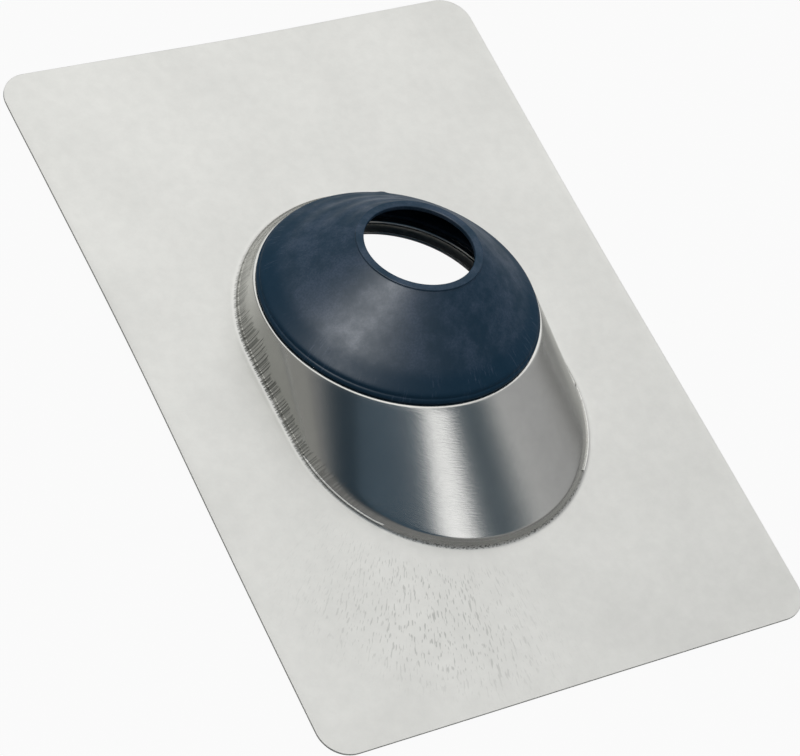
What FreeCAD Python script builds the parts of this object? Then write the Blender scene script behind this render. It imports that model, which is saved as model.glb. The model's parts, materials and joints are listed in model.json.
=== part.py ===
import FreeCAD, Part
import math
import os
import Sketcher

# Roof flashing boot for a small vent pipe, in millimetres.
# Two pieces: an aluminium sheet with an oblique hood drawn up out of it, and a moulded
# rubber collar bonded to the hood's round seat.
# Z is normal to the sheet, Y runs up the roof slope, X runs across it. The origin is the
# middle of the sheet's underside.

doc = FreeCAD.newDocument("pipe_flashing_boot")

# ---------------------------------------------------------------- driving dimensions
DIMENSIONS = [
    ("sheet_width", "228.6"),
    ("sheet_length", "328.8"),
    ("corner_radius", "12.7"),
    ("gauge", "0.8"),
    # foot of the hood: an obround on the sheet
    ("foot_radius", "66.5"),
    ("foot_back_y", "9.0"),
    ("foot_front_y", "-32.0"),
    ("foot_bend", "2.0"),
    # flare: how far in and up the wall's shoulder stands from the foot
    ("flare_width", "6.2"),
    ("flare_back_shift", "2.5"),
    ("flare_front_shift", "2.8"),
    ("flare_rise", "4.2"),
    # rim: a circle on a plane that falls up-slope
    ("rim_radius", "60.6"),
    ("rim_y", "12.5"),
    ("rim_height", "16.0"),
    ("rim_tilt", "10.1"),
    ("side_sweep", "8.0"),
    ("rim_bend", "0.5"),
    # seat: the hood's pierced top, with the edge of the hole turned down
    ("hole_radius", "44.5"),
    ("hole_bend", "2.5"),
    ("hole_depth", "5.4"),
    # rubber collar
    ("pipe_bore", "22.96"),
    ("lip_radius", "26.1"),
    ("lip_top", "29.9"),
    ("lip_step", "0.9"),
    ("bore_length", "3.0"),
    ("collar_wall", "3.2"),
    ("rim_margin", "1.1"),
    ("foot_bead", "0.8"),
    ("bead_height", "1.5"),
    ("shoulder_draft", "0.3"),
    ("shoulder_rise", "4.0"),
    ("floor_thickness", "1.6"),
    ("hole_margin", "0.6"),
]
sheet = doc.addObject("Spreadsheet::Sheet", "sheet")
for row, (alias, value) in enumerate(DIMENSIONS, start=1):
    sheet.set(f"A{row}", alias)
    sheet.set(f"B{row}", value)
    sheet.setAlias(f"B{row}", alias)
doc.recompute()


def size(alias):
    """The plain number that the sheet holds under an alias."""
    return float(sheet.get(alias))


# ---------------------------------------------------------------- helpers
def origin_plane(body, role):
    """A body's own origin plane, found by its role."""
    return next(f for f in body.Origin.OriginFeatures if f.Role == role)


def new_body(name):
    body = doc.addObject("PartDesign::Body", name)
    body.Label = name
    return body


def new_sketch(body, name, role, height=None):
    """A sketch on one of the body's origin planes, lifted by a height expression."""
    sketch = body.newObject("Sketcher::SketchObject", name)
    sketch.AttachmentSupport = [(origin_plane(body, role), "")]
    sketch.MapMode = "FlatFace"
    if height:
        sketch.setExpression(".AttachmentOffset.Base.z", height)
    return sketch


def seat_sketch(body, name, depth):
    """A sketch parallel to the rim, a depth under it along the rim's axis."""
    sketch = new_sketch(body, name, "XY_Plane")
    turn = FreeCAD.Rotation(FreeCAD.Vector(1, 0, 0), -size("rim_tilt"))
    sketch.AttachmentOffset = FreeCAD.Placement(FreeCAD.Vector(0, 0, 0), turn)
    tilt = "sheet.rim_tilt * 1 deg"
    sketch.setExpression(".AttachmentOffset.Rotation.Angle", f"-{tilt}")
    sketch.setExpression(".AttachmentOffset.Base.y",
                         f"(sheet.rim_y - {depth} * sin({tilt})) * 1 mm")
    sketch.setExpression(".AttachmentOffset.Base.z",
                         f"(sheet.rim_height - {depth} * cos({tilt})) * 1 mm")
    return sketch


def profile_sketch(body, name):
    """A sketch on the YZ plane whose own axes are (radius, height) about the rim's axis."""
    sketch = new_sketch(body, name, "YZ_Plane")
    turn = FreeCAD.Rotation(FreeCAD.Vector(0, 0, 1), -size("rim_tilt"))
    sketch.AttachmentOffset = FreeCAD.Placement(FreeCAD.Vector(0, 0, 0), turn)
    sketch.setExpression(".AttachmentOffset.Rotation.Angle", "-sheet.rim_tilt * 1 deg")
    sketch.setExpression(".AttachmentOffset.Base.x", "sheet.rim_y * 1 mm")
    sketch.setExpression(".AttachmentOffset.Base.y", "sheet.rim_height * 1 mm")
    return sketch


def value(expression):
    """An expression over the sheet's cells, as a number."""
    return float(sheet.evalExpression(expression))


def place_along(sketch, kind, geometry, vertex, expression):
    """Binds one coordinate (DistanceX or DistanceY) of an end or centre of a curve."""
    index = sketch.addConstraint(
        Sketcher.Constraint(kind, -1, 1, geometry, vertex, value(expression))
    )
    sketch.setExpression(f"Constraints[{index}]", f"({expression}) * 1 mm")


def place_point(sketch, geometry, vertex, x, y):
    """Binds both coordinates of an end or centre of a curve."""
    place_along(sketch, "DistanceX", geometry, vertex, x)
    place_along(sketch, "DistanceY", geometry, vertex, y)


def bind_radius(sketch, geometry, radius):
    index = sketch.addConstraint(Sketcher.Constraint("Radius", geometry, value(radius)))
    sketch.setExpression(f"Constraints[{index}]", f"({radius}) * 1 mm")


def closed_profile(sketch, points):
    """A closed run of straight lines through (x, y) expressions."""
    ends = [FreeCAD.Vector(value(x), value(y), 0) for x, y in points]
    for start, end in zip(ends, ends[1:] + ends[:1]):
        sketch.addGeometry(Part.LineSegment(start, end), False)
    count = len(points)
    for i in range(count):
        sketch.addConstraint(Sketcher.Constraint("Coincident", i, 2, (i + 1) % count, 1))
    for i, (x, y) in enumerate(points):
        place_point(sketch, i, 1, x, y)


def obround(sketch, radius, back_y, front_y):
    """Back arc, left side, front arc, right side, all tangent: the form of the hood's foot."""
    r, back, front = value(radius), value(back_y), value(front_y)
    up = FreeCAD.Vector(0, 0, 1)
    corner = [FreeCAD.Vector(r, back), FreeCAD.Vector(-r, back),
              FreeCAD.Vector(-r, front), FreeCAD.Vector(r, front)]
    half = math.pi
    sketch.addGeometry(Part.ArcOfCircle(Part.Circle(FreeCAD.Vector(0, back), up, r), 0, half), False)
    sketch.addGeometry(Part.LineSegment(corner[1], corner[2]), False)
    sketch.addGeometry(
        Part.ArcOfCircle(Part.Circle(FreeCAD.Vector(0, front), up, r), half, 2 * half), False
    )
    sketch.addGeometry(Part.LineSegment(corner[3], corner[0]), False)
    for first, second in ((0, 1), (1, 2), (2, 3), (3, 0)):
        sketch.addConstraint(Sketcher.Constraint("Tangent", first, 2, second, 1))
    place_point(sketch, 0, 3, "0", back_y)
    place_point(sketch, 2, 3, "0", front_y)
    bind_radius(sketch, 0, radius)


def four_arc_circle(sketch, radius, centre_y):
    """A circle in four arcs that answer the obround's four curves: the two narrow arcs
    at the sides take the straight sides of the foot."""
    sweep = math.radians(size("side_sweep"))
    half = math.pi
    circle = Part.Circle(
        FreeCAD.Vector(0, value(centre_y)), FreeCAD.Vector(0, 0, 1), value(radius)
    )
    bounds = [(sweep, half - sweep), (half - sweep, half + sweep),
              (half + sweep, 2 * half - sweep), (2 * half - sweep, 2 * half + sweep)]
    for start, end in bounds:
        sketch.addGeometry(Part.ArcOfCircle(circle, start, end), False)
    for i in range(4):
        sketch.addConstraint(Sketcher.Constraint("Coincident", i, 2, (i + 1) % 4, 1))
    for i in range(1, 4):
        sketch.addConstraint(Sketcher.Constraint("Coincident", 0, 3, i, 3))
    place_point(sketch, 0, 3, "0", centre_y)
    bind_radius(sketch, 0, radius)
    side = f"({radius}) * sin(sheet.side_sweep * 1 deg)"
    for geometry, sign in ((0, "1"), (1, "1"), (2, "-1"), (3, "-1")):
        index = sketch.addConstraint(
            Sketcher.Constraint("DistanceY", 0, 3, geometry, 1, value(f"{sign} * {side}"))
        )
        sketch.setExpression(f"Constraints[{index}]", f"{sign} * {side} * 1 mm")


def loft(body, kind, name, sections):
    """A ruled loft, so that each band between two sections stays single-curved."""
    feature = body.newObject(f"PartDesign::{kind}", name)
    feature.Profile = sections[0]
    feature.Sections = sections[1:]
    feature.Ruled = True
    return feature


def turned(body, kind, name, sketch):
    """A full turn of a profile about the rim's axis."""
    feature = body.newObject(f"PartDesign::{kind}", name)
    feature.Profile = sketch
    feature.ReferenceAxis = (sketch, ["V_Axis"])
    feature.Angle = 360
    return feature


def rim_frame():
    """Centre and axis of the rim, in the model's frame."""
    centre = FreeCAD.Vector(0, size("rim_y"), size("rim_height"))
    turn = FreeCAD.Rotation(FreeCAD.Vector(1, 0, 0), -size("rim_tilt"))
    return FreeCAD.Placement(centre, turn)


def edge_names(feature, test):
    """Names of the edges whose every sampled point passes a test."""
    found = []
    for i, edge in enumerate(feature.Shape.Edges, start=1):
        points = edge.discretize(7)
        if all(test(point) for point in points):
            found.append(f"Edge{i}")
    return found


def rounded(body, name, radius, test):
    """A fillet on every edge of the body's tip that passes a test."""
    doc.recompute()
    base = body.Tip
    names = edge_names(base, test)
    if not names:
        raise RuntimeError(f"{name}: no edge found")
    feature = body.newObject("PartDesign::Fillet", name)
    feature.Base = (base, names)
    feature.setExpression("Radius", f"({radius}) * 1 mm")
    return feature


def on_ring(radius, height, slack=0.05):
    """A test for points on a circle about the rim's axis."""
    into_rim = rim_frame().inverse()

    def test(point):
        local = into_rim.multVec(point)
        around = (local.x ** 2 + local.y ** 2) ** 0.5
        return abs(around - value(radius)) < slack and abs(local.z - value(height)) < slack

    return test


# ---------------------------------------------------------------- the drawn sheet
def make_flashing():
    """One sheet: flat flange, flared foot, oblique wall, round seat with a turned-down hole."""
    body = new_body("flashing")

    outline = new_sketch(body, "sheet_outline", "XY_Plane")
    half_x, half_y = "sheet.sheet_width / 2", "sheet.sheet_length / 2"
    closed_profile(outline, [
        (f"-{half_x}", f"-{half_y}"), (half_x, f"-{half_y}"),
        (half_x, half_y), (f"-{half_x}", half_y),
    ])
    pad = body.newObject("PartDesign::Pad", "sheet_pad")
    pad.Profile = outline
    pad.setExpression("Length", "sheet.gauge * 1 mm")
    rounded(body, "sheet_corners", "sheet.corner_radius",
            lambda p: abs(abs(p.x) - size("sheet_width") / 2) < 0.01
            and abs(abs(p.y) - size("sheet_length") / 2) < 0.01)

    # outside of the hood
    foot = new_sketch(body, "foot_outside", "XY_Plane", "sheet.gauge * 1 mm")
    obround(foot, "sheet.foot_radius", "sheet.foot_back_y", "sheet.foot_front_y")
    shoulder_height = "sheet.gauge + sheet.flare_rise"
    shoulder_radius = "sheet.foot_radius - sheet.flare_width"
    shoulder_back = "sheet.foot_back_y + sheet.flare_back_shift"
    shoulder_front = "sheet.foot_front_y - sheet.flare_front_shift"
    shoulder = new_sketch(body, "shoulder_outside", "XY_Plane", f"({shoulder_height}) * 1 mm")
    obround(shoulder, shoulder_radius, shoulder_back, shoulder_front)
    rim = seat_sketch(body, "rim_outside", "sheet.rim_bend")
    four_arc_circle(rim, "sheet.rim_radius", "0")
    rim_top = seat_sketch(body, "rim_top", "0")
    four_arc_circle(rim_top, "sheet.rim_radius - sheet.rim_bend", "0")
    doc.recompute()
    loft(body, "AdditiveLoft", "hood_outside", [foot, shoulder, rim, rim_top])
    doc.recompute()

    # inside of the hood, one gauge in
    foot_in = new_sketch(body, "foot_inside", "XY_Plane")
    obround(foot_in, "sheet.foot_radius - sheet.gauge / 3",
            "sheet.foot_back_y", "sheet.foot_front_y")
    shoulder_in = new_sketch(body, "shoulder_inside", "XY_Plane",
                             f"({shoulder_height} - 0.7 * sheet.gauge) * 1 mm")
    obround(shoulder_in, f"{shoulder_radius} - sheet.gauge",
            shoulder_back, f"{shoulder_front} - 0.4 * sheet.gauge")
    rim_in = seat_sketch(body, "rim_inside", "sheet.gauge")
    four_arc_circle(rim_in, "sheet.rim_radius - 0.9 * sheet.gauge", "-0.3 * sheet.gauge")
    doc.recompute()
    before = body.Shape.Volume
    loft(body, "SubtractiveLoft", "hood_inside", [foot_in, shoulder_in, rim_in])
    doc.recompute()
    if body.Shape.Volume > 0.5 * before:
        raise RuntimeError("the hood was not hollowed")

    # pierced hole in the seat, then its turned-down edge
    before = body.Shape.Volume
    hole = profile_sketch(body, "hole_profile")
    reach = "sheet.hole_radius + sheet.hole_bend"
    closed_profile(hole, [
        ("0", "-2 * sheet.gauge"), (reach, "-2 * sheet.gauge"),
        (reach, "sheet.gauge"), ("0", "sheet.gauge"),
    ])
    turned(body, "Groove", "seat_hole", hole)
    doc.recompute()
    if body.Shape.Volume > before - 1000:
        raise RuntimeError("the seat was not pierced")
    edge = profile_sketch(body, "hole_edge_profile")
    hole_edge_outline(edge)
    turned(body, "Revolution", "hole_edge", edge)
    doc.recompute()
    rounded(body, "foot_rounding", "sheet.foot_bend", on_foot)
    doc.recompute()
    return body


def on_foot(point):
    """Whether a point lies on the line where the hood's foot meets the sheet's top."""
    flat = abs(point.z - size("gauge")) < 0.01
    return flat and abs(point.x) < size("foot_radius") + 1 and abs(point.y) < 110


def hole_edge_outline(sketch):
    """Section of the hole's turned-down edge: a quarter bend and a short straight wall."""
    hole, bend, gauge = "sheet.hole_radius", "sheet.hole_bend", "sheet.gauge"
    start = f"{hole} + {bend}"
    r, b, g = value(hole), value(bend), value(gauge)
    depth = size("hole_depth")
    quarter = math.pi / 2
    up = FreeCAD.Vector(0, 0, 1)
    centre = FreeCAD.Vector(r + b, -b)

    def line(x1, y1, x2, y2):
        sketch.addGeometry(
            Part.LineSegment(FreeCAD.Vector(x1, y1), FreeCAD.Vector(x2, y2)), False)

    def bent(radius):
        circle = Part.Circle(centre, up, radius)
        sketch.addGeometry(Part.ArcOfCircle(circle, quarter, 2 * quarter), False)

    bent(b)
    line(r, -b, r, -depth)
    line(r, -depth, r + g, -depth)
    line(r + g, -depth, r + g, -b)
    bent(b - g)
    line(r + b, -g, r + b, 0)
    joins = [(0, 2, 1, 1), (1, 2, 2, 1), (2, 2, 3, 1), (3, 2, 4, 2), (4, 1, 5, 1), (5, 2, 0, 1)]
    for first, first_end, second, second_end in joins:
        sketch.addConstraint(
            Sketcher.Constraint("Coincident", first, first_end, second, second_end))
    for arc, arc_radius in ((0, bend), (4, f"{bend} - {gauge}")):
        place_point(sketch, arc, 3, start, f"-{bend}")
        bind_radius(sketch, arc, arc_radius)
        place_along(sketch, "DistanceX", arc, 1, start)
        place_along(sketch, "DistanceY", arc, 2, f"-{bend}")
    place_point(sketch, 2, 1, hole, "-sheet.hole_depth")
    place_point(sketch, 3, 1, f"{hole} + {gauge}", "-sheet.hole_depth")


# ---------------------------------------------------------------- the rubber collar
def make_collar():
    """One moulding turned about the rim's axis: base flange, shoulder, cone and lip."""
    body = new_body("collar")
    section = profile_sketch(body, "collar_section")
    bead = "sheet.rim_radius - sheet.rim_margin"
    foot = f"{bead} - sheet.foot_bead"
    shoulder = f"{foot} - sheet.shoulder_draft"
    floor = "sheet.hole_radius + sheet.hole_bend + sheet.hole_margin"
    root = "sheet.lip_radius + sheet.lip_step"
    root_height = "sheet.lip_top - 1.6 * sheet.lip_step"
    slope = f"(({root_height}) - sheet.shoulder_rise) / ({shoulder} - ({root}))"
    drop = f"sheet.collar_wall * sqrt(1 + ({slope}) ^ 2)"
    inner_top = "sheet.pipe_bore + 0.6 * sheet.collar_wall"
    inner_root = f"{shoulder} - 1.2 * sheet.collar_wall"

    def under_cone(radius):
        """Height of the cone's inner face at a radius, one wall under its outer face."""
        return f"{root_height} - ({drop}) - ({radius} - ({root})) * {slope}"

    closed_profile(section, [
        (floor, "0"),
        (foot, "0"),
        (bead, "0.4 * sheet.bead_height"),
        (bead, "sheet.bead_height"),
        (foot, "1.5 * sheet.bead_height"),
        (shoulder, "sheet.shoulder_rise"),
        (root, root_height),
        ("sheet.lip_radius", f"{root_height} + 0.3 * sheet.lip_step"),
        ("sheet.lip_radius", "sheet.lip_top"),
        ("sheet.pipe_bore", "sheet.lip_top"),
        ("sheet.pipe_bore", "sheet.lip_top - sheet.bore_length"),
        (inner_top, under_cone(inner_top)),
        (inner_root, under_cone(inner_root)),
        (inner_root, "sheet.floor_thickness"),
        (floor, "sheet.floor_thickness"),
    ])
    turned(body, "Revolution", "collar_turn", section)
    doc.recompute()
    rounded(body, "shoulder_rounding", "2 * sheet.foot_bead",
            on_ring(shoulder, "sheet.shoulder_rise"))
    rounded(body, "lip_rounding", "0.4 * sheet.foot_bead",
            on_ring("sheet.lip_radius", "sheet.lip_top"))
    doc.recompute()
    return body


# ---------------------------------------------------------------- build, check and write
parts = [make_flashing(), make_collar()]
doc.recompute()
for item in doc.Objects:
    if "Invalid" in item.State or "Error" in item.State:
        raise RuntimeError(f"{item.Label} failed: {item.State}")
for part in parts:
    shape = part.Shape
    if shape.isNull() or not shape.isValid():
        raise RuntimeError(f"{part.Label} is not a valid shape")
    if len(shape.Solids) != 1:
        raise RuntimeError(f"{part.Label} is not one solid")
    box = shape.BoundBox
    print(f"{part.Label}: {shape.Volume / 1000:.1f} cm3, {box.XLength:.1f} x"
          f" {box.YLength:.1f} x {box.ZLength:.1f} mm, up to z {box.ZMax:.1f}")

os.makedirs("parts", exist_ok=True)
for part in parts:
    part.Shape.exportStep(f"parts/{part.Label}.step")
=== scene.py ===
"""Pipe flashing boot: a drawn aluminium roof flashing with a moulded rubber collar on its hood.

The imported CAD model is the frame. The flashing and the collar are made again here as finer
surfaces over the same sizes, with the finish of the real metal and rubber.
"""

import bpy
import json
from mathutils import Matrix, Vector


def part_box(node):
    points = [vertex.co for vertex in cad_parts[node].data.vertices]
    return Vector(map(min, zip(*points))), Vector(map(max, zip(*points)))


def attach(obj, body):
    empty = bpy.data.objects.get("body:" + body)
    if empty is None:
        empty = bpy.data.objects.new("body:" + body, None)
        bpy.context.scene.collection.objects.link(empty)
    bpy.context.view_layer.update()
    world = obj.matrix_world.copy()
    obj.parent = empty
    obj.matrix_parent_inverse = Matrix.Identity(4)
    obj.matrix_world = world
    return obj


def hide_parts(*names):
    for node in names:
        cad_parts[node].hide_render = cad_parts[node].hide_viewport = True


bl_info = {
    "name": "Pipe Flashing Boot",
    "version": (1, 0, 0),
    "blender": (4, 5, 0),
    "location": "3D View > Sidebar > Flashing",
    "description": "Builds a roof flashing boot: sheet, drawn hood, rubber collar and studio",
    "category": "Object",
}

import json
import math

import bpy
import numpy as np
from bpy.props import FloatProperty, FloatVectorProperty, PointerProperty, StringProperty
from mathutils import Matrix, Vector

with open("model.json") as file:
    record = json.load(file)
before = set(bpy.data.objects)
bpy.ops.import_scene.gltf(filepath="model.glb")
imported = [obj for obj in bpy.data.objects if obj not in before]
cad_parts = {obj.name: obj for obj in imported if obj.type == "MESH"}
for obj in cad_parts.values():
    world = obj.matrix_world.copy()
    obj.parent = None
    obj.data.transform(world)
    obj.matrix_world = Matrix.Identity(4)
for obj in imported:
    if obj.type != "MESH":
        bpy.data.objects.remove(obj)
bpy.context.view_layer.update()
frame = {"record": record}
HALF_SHEET = np.array(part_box("flashing")[1][:2])
BORE = next(m for m in frame["record"]["mounts"] if m["name"] == "pipe_bore")

MM = 0.001
TURN = math.tau


# ---------------------------------------------------------------- settings a user would change


def length(name, description, millimetres, low=0.0):
    """A size in metres, given here in millimetres."""
    return FloatProperty(
        name=name,
        description=description,
        default=millimetres * MM,
        min=low,
        unit="LENGTH",
        precision=5,
    )


class FlashingSizes(bpy.types.PropertyGroup):
    """The sheet and the hood drawn up from it."""

    gauge: length("Gauge", "Thickness of the sheet", 0.8)
    corner_radius: length("Corner radius", "Rounding of the sheet's four corners", 12.7)
    foot_radius: length("Foot radius", "End radius of the hood where it leaves the sheet", 66.5)
    foot_back: length("Foot back", "Centre of the foot's up-slope end", 9.0)
    foot_front: length("Foot front", "Centre of the foot's down-slope end", -32.0, -1.0)
    foot_bend: length("Foot bend", "How far the bend at the foot reaches each way", 1.5)
    flare_width: length("Flare width", "How far the flare draws in from the foot", 2.3)
    flare_rise: length("Flare rise", "Height of the flare over the sheet", 3.6)
    flare_back_shift: length("Flare back shift", "Flare's move at the up-slope end", -1.4, -1.0)
    flare_front_shift: length("Flare front shift", "Flare's move at the front", -0.6, -1.0)
    side_crease: length("Side crease", "Reach of the sweep from the flare to the wall", 4.0)
    front_crease: length("Front crease", "Reach of the fold over the front of the flare", 1.0)
    rim_radius: length("Rim radius", "Outer radius of the hood's round top", 60.6)
    rim_y: length("Rim place", "Rim centre up-slope of the sheet's centre", 12.5)
    rim_height: length("Rim height", "Rim centre over the roof", 16.0)
    rim_bend: length("Rim bend", "How far the bend at the rim reaches", 0.6)
    hole_radius: length("Hole radius", "Radius of the turned-down hole in the seat", 44.5)
    hole_bend: length("Hole bend", "How far the bend at the hole reaches", 2.5)
    hole_depth: length("Hole depth", "Depth of the hole's turned-down edge", 6.1)
    hole_curl: length("Hole curl", "How far the turned-down edge curls in at its end", 0.5)
    side_sweep: FloatProperty(
        name="Side sweep",
        description="Half of the rim's arc that faces each straight side of the foot",
        default=math.radians(1.5),
        subtype="ANGLE",
    )
    drawn_in: length("Drawn in", "How far drawing the hood pulled the sheet's long edges in", 1.4)
    bow: length("Bow", "How far the sheet's free edges curl off the roof", 0.8)


class CollarSizes(bpy.types.PropertyGroup):
    """The rubber collar, measured from the rim's own axis and its flat top."""

    base_radius: length("Base radius", "Outer radius of the collar's bead", 59.5)
    bead_height: length("Bead height", "Height of the bead over the seat", 1.9)
    shoulder_radius: length("Shoulder radius", "Radius where the flank begins", 58.4)
    shoulder_height: length("Shoulder height", "Height of the shoulder", 4.0)
    neck_radius: length("Neck radius", "Radius at the top of the flank", 26.65)
    neck_height: length("Neck height", "Height of the flank's top", 28.97)
    lip_radius: length("Lip radius", "Outer radius of the lip", 26.4)
    lip_height: length("Lip height", "Height of the lip over the seat", 29.9)
    bore_length: length("Bore length", "Length of the round wall that grips the pipe", 1.5)
    wall: length("Wall", "Thickness of the flank", 3.2)
    floor_radius: length("Floor radius", "Inner radius of the collar's base", 47.6)
    floor_thickness: length("Floor thickness", "Thickness of the collar's base", 1.6)
    lip_lean: length("Lip lean", "How far the soft mouth hangs to one side", 1.9)
    lip_tilt: FloatProperty(
        name="Lip tilt",
        description="How much more than the hood's top the soft mouth tips up-slope",
        default=math.radians(1.6),
        subtype="ANGLE",
    )
    ripple: length("Ripple", "Depth of the soft folds in the up-slope flank", 0.28)
    sag: length("Sag", "How far the soft flank wanders off its moulded shape", 0.12)
    nub: length("Nub", "Height of the moulding nub on the up-slope shoulder", 0.8)


class Finishes(bpy.types.PropertyGroup):
    """Colours as sRGB hex values, and how rough each part of the metal is."""

    sheet_colour: StringProperty(
        name="Sheet", description="Mill-finish aluminium sheet", default="DFDFDB"
    )
    hood_colour: StringProperty(
        name="Hood", description="Aluminium burnished by the drawing die", default="CFCFCB"
    )
    scuff_colour: StringProperty(
        name="Draw marks", description="Metal dragged by the die", default="6E706C"
    )
    sheet_roughness: FloatProperty(
        name="Sheet roughness",
        description="Roughness of the rolled sheet",
        default=0.46,
        min=0.0,
        max=1.0,
        subtype="FACTOR",
    )
    hood_roughness: FloatProperty(
        name="Hood roughness",
        description="Roughness of the burnished hood",
        default=0.19,
        min=0.0,
        max=1.0,
        subtype="FACTOR",
    )
    rubber_colour: StringProperty(
        name="Rubber", description="Moulded blue-black rubber", default="17394F"
    )
    bloom_colour: StringProperty(
        name="Bloom", description="Grey wax bloom on the rubber", default="41546A"
    )
    floor_colour: StringProperty(
        name="Floor", description="Pale studio floor", default="BDBDBB"
    )


class StudioSettings(bpy.types.PropertyGroup):
    """Camera and light."""

    camera_place: FloatVectorProperty(
        name="Camera",
        description="Where the camera stands",
        default=(-0.63246, -0.52563, 0.98821),
        subtype="TRANSLATION",
        unit="LENGTH",
    )
    camera_across: FloatVectorProperty(
        name="Camera across",
        description="The direction of the picture's width",
        default=(0.84642, -0.4311, 0.31261),
        subtype="DIRECTION",
    )
    camera_up: FloatVectorProperty(
        name="Camera up",
        description="The direction of the picture's height",
        default=(0.20881, 0.80873, 0.54987),
        subtype="DIRECTION",
    )
    focal_length: FloatProperty(
        name="Focal length",
        description="Lens on a 36 mm sensor, in millimetres",
        default=141.095,
        min=10.0,
        unit="CAMERA",
    )
    room_light: FloatProperty(
        name="Room light",
        description="Strength of the even light all round",
        default=0.24,
        min=0.0,
    )
    key_power: FloatProperty(
        name="Collar key",
        description="Power of the lamp that lights the collar",
        default=140.0,
        min=0.0,
        unit="POWER",
    )


# ---------------------------------------------------------------- plain helpers


def linear(hex_colour, alpha=1.0):
    """An sRGB hex value as linear red, green, blue and alpha."""
    out = []
    for i in (0, 2, 4):
        c = int(hex_colour[i : i + 2], 16) / 255
        out.append(c / 12.92 if c <= 0.04045 else ((c + 0.055) / 1.055) ** 2.4)
    return (*out, alpha)


def smooth(x, start, end):
    """0 before start, 1 after end, with an easy rise between them."""
    t = np.clip((x - start) / (end - start), 0.0, 1.0)
    return t * t * (3 - 2 * t)


def bell(x, middle, width):
    """1 at middle, falling softly to nothing a few widths away."""
    return np.exp(-(((x - middle) / width) ** 2))


def unit(v):
    """Vectors along the last axis, made 1 long."""
    return v / np.linalg.norm(v, axis=-1, keepdims=True)


def toward(side, reach, most=0.42):
    """A step of length reach along each side, or of the share most of a side that is short."""
    size = np.linalg.norm(side, axis=-1, keepdims=True)
    return side / size * np.minimum(reach, most * size)


def run(start, end, count, ease=1.0):
    """count rings from start up to, but not including, end; ease above 1 crowds them near end."""
    shares = 1 - (1 - np.arange(count) / count) ** ease
    return [start + (end - start) * s for s in shares]


def bend(before, corner, after, reach, count=6, most=(0.42, 0.42)):
    """Rings round a corner, which leave each side at reach, or at most a share of a short side."""
    a = corner + toward(before - corner, reach, most[0])
    b = corner + toward(after - corner, reach, most[1])
    rings = []
    for t in np.linspace(0, 1, count):
        rings.append(a * (1 - t) ** 2 + corner * 2 * t * (1 - t) + b * t**2)
    return rings


def mesh_from_rings(name, rings, marks, closed_section=False):
    """One object from rings of equal count; marks are values a point carries to its material."""
    count = len(rings[0])
    rows = len(rings)
    faces = []
    for r in range(rows if closed_section else rows - 1):
        low, high = r * count, (r + 1) % rows * count
        for i in range(count):
            j = (i + 1) % count
            faces.append((low + i, low + j, high + j, high + i))
    mesh = bpy.data.meshes.new(name)
    mesh.from_pydata(np.concatenate(rings).tolist(), [], faces)
    for mark, values in marks.items():
        values = np.asarray(values, np.float32)
        kind, field = ("FLOAT", "value") if values.ndim == 1 else ("FLOAT_VECTOR", "vector")
        layer = mesh.attributes.new(mark, kind, "POINT")
        layer.data.foreach_set(field, values.ravel())
    mesh.shade_smooth()
    mesh.update()
    piece = bpy.data.objects.new(name, mesh)
    bpy.context.scene.collection.objects.link(piece)
    return piece


class RimFrame:
    """The hood's round top: its centre, its axis along the pipe, and its own up-slope direction."""

    def __init__(self, sizes):
        self.axis = np.array(Vector(BORE["axis"]).normalized())
        self.centre = np.array((0.0, sizes.rim_y, sizes.rim_height))
        self.across = np.array((1.0, 0.0, 0.0))
        self.up_slope = np.cross(self.axis, self.across)

    def ring(self, angles, radius, height):
        """Points round the axis at one radius and height over the hood's top."""
        radius, height = np.broadcast_arrays(radius, height)
        return (
            self.centre
            + np.cos(angles)[:, None] * self.across * radius.reshape(-1, 1)
            + np.sin(angles)[:, None] * self.up_slope * radius.reshape(-1, 1)
            + self.axis * height.reshape(-1, 1)
        )


# ---------------------------------------------------------------- flashing


def soften(values, turn, span=29):
    """A ring of values averaged over its neighbours; turn is what one time round adds to them."""
    reach = span // 2
    ring = np.concatenate([values[-reach:] - turn, values, values[:reach] + turn])
    weights = np.hanning(span + 2)[1:-1]
    return np.convolve(ring, weights / weights.sum(), "valid")


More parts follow.
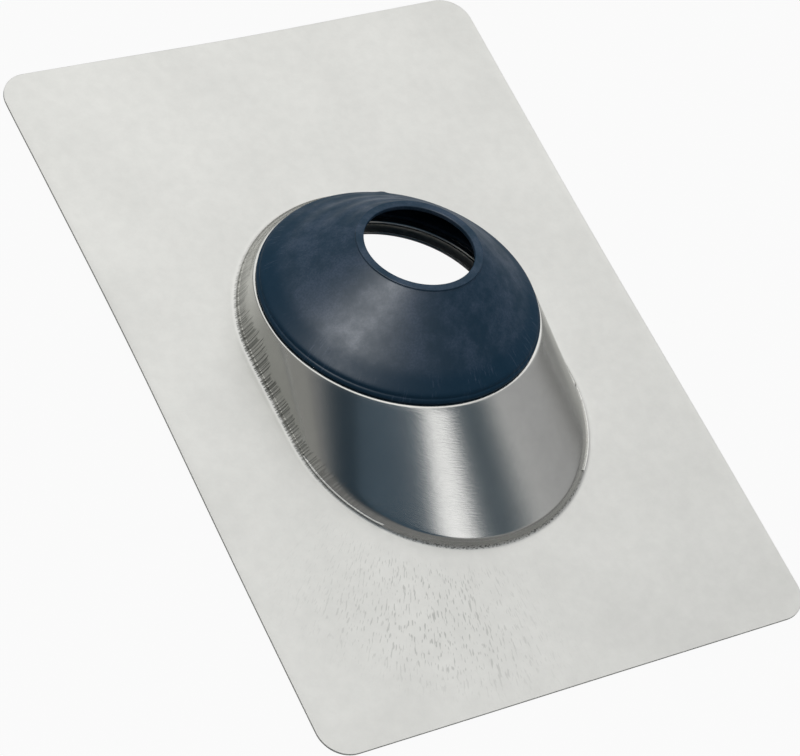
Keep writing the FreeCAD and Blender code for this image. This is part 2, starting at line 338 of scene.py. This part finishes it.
class Perimeter:
    """Samples round the hood's foot, crowded where they fan out to the sheet's corners."""

    ARC, SIDE = 196, 30  # samples over each round end, and steps along each straight side
    STEPS = 2000  # fine steps over a round end, from which its samples are picked
    CROWDING = 3  # samples added towards a corner, for each that would stand there anyway
    CROWD_WIDTH = math.radians(4)

    def __init__(self, s):
        self.middle = np.array((0.0, (s.foot_back + s.foot_front) / 2))
        back = self._arc(s, 0.0, s.foot_back, HALF_SHEET)
        front = self._arc(s, TURN / 2, s.foot_front, HALF_SHEET * (1, -1))
        side = np.arange(1, self.SIDE) / self.SIDE
        lines = np.ones(len(side))
        fall = np.linspace(1, -1, self.ARC)
        # The way each sample faces, its share of the way to the front, and its shift on the rim.
        facing = np.concatenate([back, lines * TURN / 2, front, lines * TURN])
        share = np.concatenate([back * 0, side, front * 0 + 1, 1 - side])
        spread = np.concatenate([fall, side * 2 - 1, fall, side * 2 - 1])
        self.facing = soften(facing, TURN)
        self.share = soften(share, 0.0)
        self.spread = soften(spread, 0.0)

    def _arc(self, s, start, centre_y, corner):
        """Angles over half a turn from start, close together towards the sheet's corners."""
        angles = start + np.linspace(0, TURN / 2, self.STEPS)
        x = s.foot_radius * np.cos(angles)
        y = centre_y + s.foot_radius * np.sin(angles) - self.middle[1]
        fan = np.arctan2(y, np.abs(x))
        to_corner = math.atan2(corner[1] - self.middle[1], corner[0])
        crowd = np.cumsum(1 + self.CROWDING * bell(fan, to_corner, self.CROWD_WIDTH))
        crowd = (crowd - crowd[0]) / (crowd[-1] - crowd[0])
        return np.interp(np.linspace(0, 1, self.ARC), crowd, angles)

    def obround(self, radius, back_y, front_y, z):
        """Points of a long-sided ring with round ends at the samples."""
        x = radius * np.cos(self.facing)
        y = back_y + (front_y - back_y) * self.share + radius * np.sin(self.facing)
        return np.stack([x, y, np.broadcast_to(z, x.shape)], axis=1)

    def rim_angles(self, ring, rim, s):
        """Where on the rim a sheet bent one way only would end a straight line from each point.

        There the rim and the ring run in one plane with the line, so the wall has no kink. A
        straight side would meet the rim in one point, and the sweep gives it a small arc.
        """
        search = math.radians(30)
        halvings = 40
        along = np.roll(ring, -1, axis=0) - np.roll(ring, 1, axis=0)

        def twist(angles):
            tangent = -np.sin(angles)[:, None] * rim.across + np.cos(angles)[:, None] * rim.up_slope
            line = rim.ring(angles, s.rim_radius, 0.0) - ring
            return np.sum(np.cross(along, tangent) * line, axis=1)

        low, high = self.facing - search, self.facing + search
        start = np.sign(twist(low))
        for _ in range(halvings):
            middle = (low + high) / 2
            before = np.sign(twist(middle)) == start
            low, high = np.where(before, middle, low), np.where(before, high, middle)
        return soften(low, TURN, span=9) + s.side_sweep * self.spread

    def sheet_edge(self, foot, corner_radius, z):
        """Where rays from the middle through the foot leave the round-cornered sheet."""
        start = self.middle
        d = unit(foot[:, :2] - start)
        never_zero = np.where(d == 0, 1e-12, d)
        reach = np.min((np.sign(d) * HALF_SHEET - start) / never_zero, axis=1)
        p = start + d * reach[:, None]
        centre = np.sign(p) * (HALF_SHEET - corner_radius)
        rounded = np.all(np.abs(p) > HALF_SHEET - corner_radius, axis=1)
        across = start - centre
        b = np.sum(across * d, axis=1)
        c = np.sum(across * across, axis=1) - corner_radius**2
        to_arc = -b + np.sqrt(np.maximum(b * b - c, 0))
        p = np.where(rounded[:, None], start + d * to_arc[:, None], p)
        return np.column_stack([p, np.full(len(p), z)])


def draw_in(edge, s):
    """Moves the sheet's edge inward where drawing the hood pulled metal from it."""
    half_x, half_y = HALF_SHEET
    x, y = edge[:, 0].copy(), edge[:, 1].copy()
    beside = bell(y, s.rim_y + 0.1 * half_y, 0.55 * half_y) * (np.abs(x) > 0.5 * half_x)
    behind = bell(x, 0.0, 0.6 * half_x) * (y > 0.5 * half_y)
    edge[:, 0] -= s.drawn_in * np.sign(x) * beside * smooth(-np.abs(y), -half_y, -0.7 * half_y)
    edge[:, 1] -= 0.7 * s.drawn_in * behind * smooth(-np.abs(x), -half_x, -0.7 * half_x)


def sheet_lift(points, s):
    """How far the free sheet stands off a flat roof: its edges curl and it is not quite flat."""
    x, y = points[:, 0], points[:, 1]
    half_x, half_y = HALF_SHEET
    curl = s.bow * (x / half_x) ** 2 * bell(y, 0.15 * half_y, 0.75 * half_y)
    wave = 0.12 * MM * (np.sin(x / (23 * MM) + 1.2) * np.sin(y / (31 * MM)) + 1)
    return curl + wave


FOOT_RINGS = 6


def flashing_rings(s, around, foot):
    """The top face as the sheet's rings, and the hood's rings from its foot to the hole's edge."""
    rim = RimFrame(s)
    crease = around.obround(
        s.foot_radius - s.flare_width,
        s.foot_back + s.flare_back_shift,
        s.foot_front + s.flare_front_shift,
        s.gauge + s.flare_rise,
    )
    angles = around.rim_angles(crease, rim, s)
    rim_edge = rim.ring(angles, s.rim_radius, 0.0)
    hole = rim.ring(angles, s.hole_radius, 0.0)
    hole_end = rim.ring(angles, s.hole_radius, -s.hole_depth)
    curled = rim.ring(angles, s.hole_radius - s.hole_curl, -s.hole_depth - 0.1 * MM)
    edge = around.sheet_edge(foot, s.corner_radius, s.gauge)
    draw_in(edge, s)

    at_foot = bend(edge, foot, crease, s.foot_bend, FOOT_RINGS)
    # The flare runs into the wall in one sweep at the sides, and folds over it in front.
    sweep = smooth(np.sin(around.facing), -0.95, -0.45)[:, None]
    reach = s.front_crease + (s.side_crease - s.front_crease) * sweep
    at_crease = bend(foot, crease, rim_edge, reach, count=9, most=(0.72, 0.55))
    at_rim = bend(crease, rim_edge, hole, s.rim_bend)
    at_hole = bend(rim_edge, hole, hole_end, s.hole_bend)
    at_end = bend(at_hole[-1], hole_end, curled, 0.4 * MM, count=4)

    # A ring just inside the sheet's edge keeps the edge crisp.
    inside_edge = edge + toward(foot - edge, 0.2 * MM)
    sheet = [edge] + run(inside_edge, at_foot[0], 26, ease=1.6)
    # The flare, the wall, the seat and the turned-down edge run straight between the bends.
    hood = list(at_foot)
    for rounded, count in ((at_crease, 3), (at_rim, 20), (at_hole, 5), (at_end, 3)):
        hood += run(hood[-1], rounded[0], count)[1:] + rounded
    return sheet, hood + [curled]


def run_length(rings):
    """The way along each section from the first ring to every ring."""
    steps = [np.zeros(len(rings[0]))]
    for a, b in zip(rings, rings[1:]):
        steps.append(steps[-1] + np.linalg.norm(b - a, axis=1))
    return np.stack(steps)


def wear_marks(foot, over_foot):
    """Where the metal is drawn, dragged, rubbed and galled, for each point of each ring.

    foot is where each section leaves the sheet, and over_foot how far up it from there a point is.
    """
    x, y = foot[:, 0], foot[:, 1]
    rings = len(over_foot)
    dragged = bell(y, -5 * MM, 48 * MM) * smooth(np.abs(x), 20 * MM, 55 * MM)
    # The die dragged less on the +X side.
    dragged *= 1 - 0.45 * smooth(x, 0.0, 20 * MM)
    rubbed = smooth(-y, 70 * MM, 92 * MM)
    galled = bell(x, -32 * MM, 24 * MM) * smooth(-y, 40 * MM, 75 * MM)
    return {
        "section": np.column_stack([np.tile(foot[:, :2], (rings, 1)), over_foot.ravel()]),
        "drawn": smooth(over_foot, -1.0 * MM, 2.0 * MM).ravel(),
        "dragged": np.tile(dragged, rings),
        "rubbed": np.tile(rubbed, rings),
        "galled": np.tile(galled, rings),
    }


class FLASHING_OT_sheet_and_hood(bpy.types.Operator):
    """Make the aluminium sheet with the hood drawn up from it"""

    bl_idname = "flashing.sheet_and_hood"
    bl_label = "Sheet and Hood"

    def execute(self, context):
        s = context.scene.flashing_sizes
        around = Perimeter(s)
        foot = around.obround(s.foot_radius, s.foot_back, s.foot_front, s.gauge)
        sheet, hood = flashing_rings(s, around, foot)
        # The lift dies away before the foot, so that the hood stands true.
        for ring, share in zip(sheet, np.linspace(1, 0, len(sheet)) ** 0.8):
            ring[:, 2] += sheet_lift(ring, s) * share

        rings = sheet + hood
        over_foot = run_length(rings)
        over_foot -= over_foot[len(sheet) + FOOT_RINGS // 2]
        piece = mesh_from_rings("sheet_and_hood", rings, wear_marks(foot, over_foot))
        skin = piece.modifiers.new("Gauge", "SOLIDIFY")
        skin.thickness = s.gauge
        skin.offset = -1.0
        piece.data.materials.append(mill_finish_aluminium(context.scene.flashing_finishes))
        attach(piece, "root")
        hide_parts("flashing")
        return {"FINISHED"}


# ---------------------------------------------------------------- collar


def collar_section(c):
    """The collar's closed half section as (radius, height) rows, from inside the base and back."""
    bore = BORE["dims"]["r_mm"] * MM
    bead = (c.base_radius + c.shoulder_radius) / 2
    shoulder = np.array([c.shoulder_radius, c.shoulder_height])
    neck = np.array([c.neck_radius, c.neck_height])
    slope = unit(neck - shoulder)
    outward = np.array([slope[1], -slope[0]])
    inner_foot = shoulder - outward * c.wall
    inner_neck = neck - outward * c.wall
    at_floor = inner_foot + slope * (c.floor_thickness - inner_foot[1]) / slope[1]
    # The inside of the flank stops short of the bore's wall, and a soft corner joins them.
    cone_share = 0.6
    bore_end = c.lip_height - c.bore_length
    at_bore = inner_neck + slope * (bore_end - inner_neck[1]) / slope[1] * cone_share
    # Each corner has a radius, a height, the reach of its rounding in millimetres and its rings.
    corners = (
        (c.floor_radius, 0, 0.3, 3),
        (c.base_radius - 0.5 * MM, 0, 0.2, 3),
        (c.base_radius, 0.5 * MM, 0.2, 3),
        (c.base_radius, c.bead_height - 0.4 * MM, 0.35, 5),
        (bead + 0.2 * MM, c.bead_height + 0.3 * MM, 0.2, 3),
        (c.shoulder_radius + 0.25 * MM, c.bead_height + 0.6 * MM, 0.3, 4),
        (c.shoulder_radius, c.shoulder_height, 1.6, 7),
        (c.neck_radius, c.neck_height, 0.3, 5),
        (c.lip_radius, c.neck_height + 0.1 * MM, 0.1, 3),
        (c.lip_radius, c.lip_height, 0.4, 5),
        (bore, c.lip_height, 0.5, 5),
        (bore, bore_end, 0.6, 4),
        (*at_bore, 0.6, 4),
        (*at_floor, 1.0, 4),
        (c.floor_radius, c.floor_thickness, 0.3, 3),
    )
    places = [np.array([[radius, height]], float) for radius, height, _, _ in corners]
    spacing = 0.9 * MM
    rows = []
    for i, (_, _, reach, count) in enumerate(corners):
        before, after = places[i - 1], places[(i + 1) % len(places)]
        rounded = bend(before, places[i], after, reach * MM, count)
        gap = np.linalg.norm(after - rounded[-1])
        rows += rounded + run(rounded[-1], after, max(1, int(gap / spacing)))[1:-1]
    return np.concatenate(rows)


def upper_share(c, height):
    """How free the collar is to lean at a height: 0 near the seat and 1 at the lip."""
    return smooth(height, 6 * MM, c.lip_height)


def soft_rise(c, angles, radius, height):
    """How far folds, sag, the moulding nub and the tipped mouth lift a ring off its true height."""
    up_slope = TURN / 4
    away = np.angle(np.exp(1j * (angles - up_slope)))
    on_flank = smooth(radius, 28 * MM, 31 * MM) * smooth(-radius, -57 * MM, -52 * MM)
    on_flank *= smooth(height, 2.5 * MM, 5 * MM)
    # The folds run round the flank and bow down at their ends.
    fold = np.cos((radius - 30 * MM) / (1.35 * MM) + 2.2 * np.cos(away * 1.3))
    folds = c.ripple * on_flank * bell(away, 0.0, 0.9) * fold
    sag = c.sag * on_flank * np.sin(3 * angles + radius / (9 * MM))
    nub = c.nub * bell(angles, math.radians(69), 0.035) * bell(radius, 56 * MM, 2.5 * MM)
    tip = -math.tan(c.lip_tilt) * upper_share(c, height) * radius * np.sin(angles)
    return folds + nub + sag + tip


class FLASHING_OT_rubber_collar(bpy.types.Operator):
    """Make the moulded rubber collar that grips the pipe"""

    bl_idname = "flashing.rubber_collar"
    bl_label = "Rubber Collar"

    SAMPLES = 300

    def execute(self, context):
        scene = context.scene
        c = scene.collar_sizes
        rim = RimFrame(scene.flashing_sizes)
        angles = np.linspace(0, TURN, self.SAMPLES, endpoint=False)
        middle_radius = 40 * MM
        turning = [middle_radius * np.cos(angles), middle_radius * np.sin(angles)]
        outline = collar_section(c)
        steps = np.linalg.norm(np.diff(outline, axis=0), axis=1)
        ways = np.concatenate([[0.0], np.cumsum(steps)])
        rings, clear_of_painted_shade, section = [], [], []
        for (radius, height), way in zip(outline, ways):
            lean = rim.across * c.lip_lean * upper_share(c, height)
            rise = soft_rise(c, angles, radius, height)
            rings.append(rim.ring(angles, radius, height + rise) + lean)
            # Painted shade: 0 by the shoulder and 1 from 47 mm in, so that the material greys and
            # shines the flank less low down.
            clear_of_painted_shade.append(np.full(self.SAMPLES, smooth(-radius, -56 * MM, -47 * MM)))
            section.append(np.column_stack([*turning, np.full(self.SAMPLES, way)]))
        marks = {"clear_of_painted_shade": np.concatenate(clear_of_painted_shade), "section": np.concatenate(section)}
        piece = mesh_from_rings("rubber_collar", rings, marks, closed_section=True)
        piece.data.materials.append(moulded_rubber(scene.flashing_finishes))
        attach(piece, "root")
        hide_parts("collar")
        return {"FINISHED"}


# ---------------------------------------------------------------- materials

# Settings that many nodes share.
TIMES = {"operation": "MULTIPLY"}
PLUS = {"operation": "ADD"}
MINUS = {"operation": "SUBTRACT"}
LARGER = {"operation": "MAXIMUM"}
EASED = {"interpolation_type": "SMOOTHSTEP"}
COLOURS = {"data_type": "RGBA"}
# The places of a mix's share, first and second colour, and of the colour it gives.
SHARE, FIRST, SECOND, MIXED = 0, 6, 7, 2


def add(tree, kind, inputs=(), **settings):
    """Adds one node, sets its properties, and fills its inputs in order or by name.

    An input is a value, another node's output, or a node that stands for its first output.
    """
    made = tree.nodes.new("ShaderNode" + kind)
    for name, value in settings.items():
        setattr(made, name, value)
    pairs = inputs.items() if isinstance(inputs, dict) else enumerate(inputs)
    for socket, value in pairs:
        if isinstance(value, bpy.types.Node):
            value = value.outputs[0]
        if isinstance(value, bpy.types.NodeSocket):
            tree.links.new(value, made.inputs[socket])
        else:
            made.inputs[socket].default_value = value
    return made


def new_material(name):
    """An empty node material and its tree."""
    material = bpy.data.materials.new(name)
    material.use_nodes = True
    material.node_tree.nodes.clear()
    return material, material.node_tree


def grains(tree, over, size, detail=2.0, roughness=0.5):
    """Uneven grains spread over a place, as long as size in millimetres along its X, Y and Z."""
    stretched = add(tree, "VectorMath", (over, [1 / (mm * MM) for mm in size]), **TIMES)
    return add(
        tree,
        "TexNoise",
        {"Vector": stretched, "Scale": 1.0, "Detail": detail, "Roughness": roughness},
    )


def kept_between(tree, flecks, rise, fall, share):
    """Flecks that show only between a rise and a fall, and no more than share lets them."""
    band = add(tree, "Math", (rise, fall), **TIMES)
    within = add(tree, "Math", (flecks, band), **TIMES)
    return add(tree, "Math", (within, share), **TIMES)


def draw_marks(tree, place, up, share):
    """Straight scratches 0.6 mm wide up the foot of the wall, which end raggedly 5 to 12 mm up."""
    scratches = grains(tree, place, (80, 0.62, 80), detail=1.0)
    lines = add(tree, "MapRange", (scratches, 0.46, 0.55), **EASED)
    ragged = grains(tree, place, (90, 1.7, 90))
    jag = add(tree, "MapRange", (ragged, 0.3, 0.7, -1.8 * MM, 1.8 * MM), **EASED)
    swell = grains(tree, place, (90, 17, 90), detail=1.0)
    run_up = add(tree, "MapRange", (swell, 0.35, 0.65, 7.2 * MM, 10.6 * MM), **EASED)
    reach = add(tree, "Math", (jag, run_up), **PLUS)
    to_end = add(tree, "Math", (reach, up), **MINUS)
    below_end = add(tree, "MapRange", (to_end, 0.0, 1.6 * MM), **EASED)
    above_foot = add(tree, "MapRange", (up, -1.0 * MM, -0.3 * MM), **EASED)
    return kept_between(tree, lines, below_end, above_foot, share)


def torn_foot(tree, section, up, share):
    """Torn grains 0.9 mm across where the front of the foot rubbed the die."""
    torn = add(tree, "MapRange", (grains(tree, section, (0.9, 0.9, 0.6)), 0.48, 0.62), **EASED)
    above = add(tree, "MapRange", (up, -1.1 * MM, -0.2 * MM), **EASED)
    below = add(tree, "MapRange", (up, 1.6 * MM, 0.4 * MM), **EASED)
    return kept_between(tree, torn, above, below, share)


def fanned_dashes(tree, section, up, share):
    """Faint dashes 3.5 mm long that fan out over the sheet from the front of the hood."""
    strength = 0.38
    flecks = grains(tree, section, (0.5, 0.5, 3.5), detail=1.0)
    dashes = add(tree, "MapRange", (flecks, 0.58, 0.68), **EASED)
    off_hood = add(tree, "MapRange", (up, -6 * MM, -14 * MM), **EASED)
    near_hood = add(tree, "MapRange", (up, -75 * MM, -45 * MM), **EASED)
    kept = kept_between(tree, dashes, off_hood, near_hood, share)
    return add(tree, "Math", (kept, strength), **TIMES)


def mill_finish_aluminium(finishes):
    """Mill-finish aluminium sheet, burnished where the die drew it.

    The rolled sheet scatters light softly, so it reads as an even pale grey. The drawn hood
    is smoother and mirrors broad bands of light, broken by fine grain round the wall and by
    scratches where the metal dragged over the die at the foot.
    """
    material, tree = new_material("mill_finish_aluminium")
    place = add(tree, "TexCoord").outputs["Object"]
    # X and Y are where the section leaves the sheet, and Z is the way up the wall from there.
    section = add(tree, "Attribute", attribute_name="section").outputs["Vector"]
    up = add(tree, "SeparateXYZ", (section,)).outputs["Z"]
    marks = {}
    for mark in ("drawn", "dragged", "rubbed", "galled"):
        marks[mark] = add(tree, "Attribute", attribute_name=mark).outputs["Fac"]
    drawn = marks["drawn"]

    dragged = draw_marks(tree, place, up, marks["dragged"])
    rubbed = torn_foot(tree, section, up, marks["rubbed"])
    galled = fanned_dashes(tree, section, up, marks["galled"])
    on_hood = add(tree, "Math", (dragged, rubbed), **LARGER)
    worn = add(tree, "Math", (on_hood, galled), **LARGER)
    darkened = add(tree, "Math", (worn, 0.8), **TIMES)
    roughened = add(tree, "Math", (worn, 0.2), **TIMES)
    dug = add(tree, "Math", (worn, 0.1), **TIMES)

    # Rolling leaves cloudy patches some 45 mm across, and smut 6 mm across.
    cloud = grains(tree, place, (45, 45, 45), detail=3.0)
    clouded = add(tree, "MapRange", (cloud, 0.3, 0.7, 0.97, 1.02), **EASED)
    smut = grains(tree, place, (6, 6, 6), detail=5.0, roughness=0.7)
    smutted = add(tree, "MapRange", (smut, 0.25, 0.75, 0.965, 1.02), **EASED)
    tone = add(tree, "Math", (clouded, smutted), **TIMES)
    sheet_and_hood = {
        SHARE: drawn,
        FIRST: linear(finishes.sheet_colour),
        SECOND: linear(finishes.hood_colour),
    }
    clean = add(tree, "Mix", sheet_and_hood, **COLOURS).outputs[MIXED]
    toned = add(tree, "VectorMath", {0: clean, "Scale": tone}, operation="SCALE")
    scuffs = {SHARE: darkened, FIRST: toned, SECOND: linear(finishes.scuff_colour)}
    colour = add(tree, "Mix", scuffs, **COLOURS).outputs[MIXED]

    polish = (drawn, 0.0, 1.0, finishes.sheet_roughness, finishes.hood_roughness)
    polished = add(tree, "MapRange", polish, **EASED)
    roughness = add(tree, "Math", (polished, roughened), **PLUS)

    # The sheet's grain runs along it. The die's grain runs round the wall, and is drawn at
    # 0.6 mm, coarser than real, to show.
    grain = grains(tree, place, (0.9, 2.6, 1))
    wall_grain = grains(tree, section, (4, 4, 0.6))
    relief = add(tree, "Mix", {0: drawn, 2: grain, 3: wall_grain}, data_type="FLOAT")
    height = add(tree, "Math", (relief, dug), **MINUS)
    bump = add(tree, "Bump", {"Strength": 0.3, "Distance": 0.06 * MM, "Height": height})
    shader = add(
        tree,
        "BsdfPrincipled",
        {"Base Color": colour, "Metallic": 1.0, "Roughness": roughness, "Normal": bump},
    )
    add(tree, "OutputMaterial", (shader,))
    return material


def moulded_rubber(finishes):
    """Moulded blue-black rubber.

    The mould leaves it satin, with a soft sheen where it turns to the light; a thin wax bloom
    and handling scuffs grey it here and there. Towards the shoulder the grey and the shine are
    held back, which is painted shade: the lower flank is darker.
    """
    material, tree = new_material("moulded_rubber")
    place = add(tree, "TexCoord").outputs["Object"]
    clear_of_painted_shade = add(tree, "Attribute", attribute_name="clear_of_painted_shade").outputs["Fac"]
    # X and Y turn round the flank, and Z is the way up it.
    section = add(tree, "Attribute", attribute_name="section").outputs["Vector"]

    # The bloom lies in flecks some 12 mm across. Painted shade: the bloom thins to 0.15 of itself
    # towards the shoulder, so the lower flank is darker there.
    bloom = grains(tree, place, (12, 12, 12), detail=8.0, roughness=0.66)
    bloomed = add(tree, "MapRange", (bloom, 0.36, 0.68, 0.0, 0.9), **EASED)
    unshaded_share = add(tree, "MapRange", (clear_of_painted_shade, 0.0, 1.0, 0.15, 1.0), **EASED)
    patches = add(tree, "Math", (bloomed, unshaded_share), **TIMES)
    # Hairline scuffs run down the slope, some 0.5 mm wide and 6 mm long.
    hairs = grains(tree, section, (0.45, 0.45, 6), detail=1.0)
    lines = add(tree, "MapRange", (hairs, 0.57, 0.68, 0.0, 0.7), **EASED)
    handled = add(tree, "MapRange", (grains(tree, place, (12, 12, 12)), 0.46, 0.6), **EASED)
    scuffs = add(tree, "Math", (lines, handled), **TIMES)
    # The mould's skin is a fine grain, drawn at 0.8 mm, coarser than real, to show.
    skin = grains(tree, place, (0.8, 0.8, 0.8), detail=3.0)
    grain = add(tree, "MapRange", (skin, 0.35, 0.65, 0.65, 1.25), **EASED)

    greyed = add(tree, "Math", (patches, scuffs), **LARGER)
    shade = add(tree, "Math", (greyed, grain), **TIMES)
    rubber_and_bloom = {
        SHARE: shade,
        FIRST: linear(finishes.rubber_colour),
        SECOND: linear(finishes.bloom_colour),
    }
    colour = add(tree, "Mix", rubber_and_bloom, **COLOURS).outputs[MIXED]
    shader = add(
        tree,
        "BsdfPrincipled",
        {
            "Base Color": colour,
            "Roughness": add(tree, "MapRange", (bloom, 0.3, 0.7, 0.53, 0.44), **EASED),
            "IOR": 1.52,
            # Painted shade as well: less shine near the shoulder.
            "Specular IOR Level": add(tree, "MapRange", (clear_of_painted_shade, 0.0, 1.0, 0.07, 0.15), **EASED),
            "Normal": add(tree, "Bump", {"Strength": 0.35, "Distance": 0.08 * MM, "Height": skin}),
        },
    )
    add(tree, "OutputMaterial", (shader,))
    return material


def painted_floor(finishes):
    """Matt pale paint on a studio floor.

    The camera sees it as plain white with a soft contact shadow, and so does the metal where
    it mirrors the floor far away. Close by, the metal mirrors the floor as it is lit.
    """
    plain_from = 1500 * MM
    white_share = 0.94

    material, tree = new_material("painted_floor")
    ray = add(tree, "LightPath").outputs
    place = add(tree, "TexCoord").outputs["Object"]
    from_middle = add(tree, "VectorMath", (place,), operation="LENGTH").outputs["Value"]
    far = add(tree, "Math", (from_middle, plain_from), operation="GREATER_THAN")
    mirrored = add(tree, "Math", (ray["Is Glossy Ray"], far), **TIMES)
    seen = add(tree, "Math", (ray["Is Camera Ray"], mirrored), **LARGER)
    plain = add(tree, "Math", (seen, ray["Is Transmission Ray"]), **LARGER)
    share = add(tree, "Math", (plain, white_share), **TIMES)
    matt = add(tree, "BsdfDiffuse", {"Color": linear(finishes.floor_colour)})
    white = add(tree, "Emission", {"Color": linear("FFFFFF"), "Strength": 1.0})
    shader = add(tree, "MixShader", (share, matt, white))
    add(tree, "OutputMaterial", (shader,))
    return material


# ---------------------------------------------------------------- studio

# Soft round panels that the metal mirrors, each laid over those before it: bearing, height,
# radius and soft edge in degrees, and linear colour.
PANELS = (
    ("ceiling", 58, 65, 46, 26, (1.24, 1.24, 1.24)),
    ("left wall", 152, 11, 28.6, 1.5, (0.323, 0.323, 0.312)),
    ("right wall", 3, 38, 15.2, 15.1, (0.45, 0.452, 0.465)),
    ("dim end", -155.5, 57, 18, 14.5, (0.012, 0.032, 0.052)),
    ("dim side", -113.6, 61, 19.7, 1.5, (0.052, 0.088, 0.125)),
    ("gap", -39.5, 55.8, 12, 8, (0.04, 0.07, 0.095)),
    ("strip", -62, 61.4, 6.0, 2.8, (1.65, 1.64, 1.67)),
)


def bearing_vector(bearing, height):
    """The direction at a bearing from +X and a height over the horizon, in degrees."""
    a, e = math.radians(bearing), math.radians(height)
    return Vector((math.cos(a) * math.cos(e), math.sin(a) * math.cos(e), math.sin(e)))


def room_world(studio):
    """The world: even grey light all round, with the soft panels over it."""
    world = bpy.data.worlds.new("room")
    world.use_nodes = True
    tree = world.node_tree
    tree.nodes.clear()
    sight = add(tree, "TexCoord").outputs["Generated"]
    colour = (studio.room_light, studio.room_light, studio.room_light, 1.0)
    for name, bearing, height, radius, edge, light in PANELS:
        toward_panel = (sight, bearing_vector(bearing, height))
        near = add(tree, "VectorMath", toward_panel, operation="DOT_PRODUCT", label=name)
        outer = math.cos(math.radians(radius + edge))
        inner = math.cos(math.radians(radius - edge))
        share = add(tree, "MapRange", (near.outputs["Value"], outer, inner), **EASED)
        over = {SHARE: share, FIRST: colour, SECOND: (*light, 1.0)}
        colour = add(tree, "Mix", over, **COLOURS).outputs[MIXED]
    back = add(tree, "Background", {"Color": colour, "Strength": 1.0})
    add(tree, "OutputWorld", (back,))
    return world


def collar_key(studio, collar):
    """A large soft lamp beside the collar, which gives only its rubber a sheen."""
    data = bpy.data.lights.new("collar key", "AREA")
    data.shape = "SQUARE"
    data.size = 0.8
    data.energy = studio.key_power
    out = bearing_vector(bearing=172, height=60)
    distance = 2.2
    lamp = bpy.data.objects.new("collar key", data)
    lamp.location = out * distance
    lamp.rotation_euler = out.to_track_quat("Z", "Y").to_euler()
    lamp.visible_diffuse = False
    only = bpy.data.collections.new("collar key falls on")
    only.objects.link(collar)
    lamp.light_linking.receiver_collection = only
    return lamp


def studio_floor(finishes):
    """A wide floor, a hair below the roof plane so that it never shares a face with the sheet."""
    half = 6.0
    gap = 0.02 * MM
    corners = [(-half, -half, 0), (half, -half, 0), (half, half, 0), (-half, half, 0)]
    mesh = bpy.data.meshes.new("floor")
    mesh.from_pydata(corners, [], [(0, 1, 2, 3)])
    mesh.materials.append(painted_floor(finishes))
    floor = bpy.data.objects.new("floor", mesh)
    floor.location.z = -gap
    return floor


def studio_camera(studio):
    """The camera, turned so that its picture's width and height run as the settings say."""
    data = bpy.data.cameras.new("camera")
    data.lens = studio.focal_length
    data.clip_start, data.clip_end = 0.01, 50
    across = Vector(studio.camera_across).normalized()
    back = across.cross(Vector(studio.camera_up)).normalized()
    up = back.cross(across)
    turn = Matrix((across, up, back)).transposed().to_4x4()
    camera = bpy.data.objects.new("camera", data)
    camera.matrix_world = Matrix.Translation(studio.camera_place) @ turn
    return camera


class FLASHING_OT_studio(bpy.types.Operator):
    """Make the floor, the collar's lamp, the room light and the camera"""

    bl_idname = "flashing.studio"
    bl_label = "Studio"

    def execute(self, context):
        scene = context.scene
        studio = scene.flashing_studio
        scene.view_settings.view_transform = "Standard"
        floor = studio_floor(scene.flashing_finishes)
        scene.collection.objects.link(floor)
        scene.collection.objects.link(collar_key(studio, bpy.data.objects["rubber_collar"]))
        scene.world = room_world(studio)
        scene.camera = studio_camera(studio)
        scene.collection.objects.link(scene.camera)
        return {"FINISHED"}


# ---------------------------------------------------------------- panel and registration


class FLASHING_PT_panel(bpy.types.Panel):
    """Lists the boot's pieces in the sidebar"""

    bl_label = "Pipe Flashing Boot"
    bl_idname = "FLASHING_PT_panel"
    bl_space_type = "VIEW_3D"
    bl_region_type = "UI"
    bl_category = "Flashing"

    def draw(self, context):
        for step in (FLASHING_OT_sheet_and_hood, FLASHING_OT_rubber_collar, FLASHING_OT_studio):
            self.layout.operator(step.bl_idname)
        for group in GROUPS:
            box = self.layout.box()
            settings = getattr(context.scene, group)
            for name in settings.__annotations__:
                box.prop(settings, name)


GROUPS = {
    "flashing_sizes": FlashingSizes,
    "collar_sizes": CollarSizes,
    "flashing_finishes": Finishes,
    "flashing_studio": StudioSettings,
}
CLASSES = (
    *GROUPS.values(),
    FLASHING_OT_sheet_and_hood,
    FLASHING_OT_rubber_collar,
    FLASHING_OT_studio,
    FLASHING_PT_panel,
)


def register():
    """Registers the classes and gives the scene their settings."""
    for cls in CLASSES:
        bpy.utils.register_class(cls)
    for name, group in GROUPS.items():
        setattr(bpy.types.Scene, name, PointerProperty(type=group))


def unregister():
    """Takes the settings and the classes away again."""
    for name in GROUPS:
        delattr(bpy.types.Scene, name)
    for cls in reversed(CLASSES):
        bpy.utils.unregister_class(cls)


def main():
    register()
    bpy.ops.flashing.sheet_and_hood()
    bpy.ops.flashing.rubber_collar()
    bpy.ops.flashing.studio()


if __name__ == "__main__":
    main()
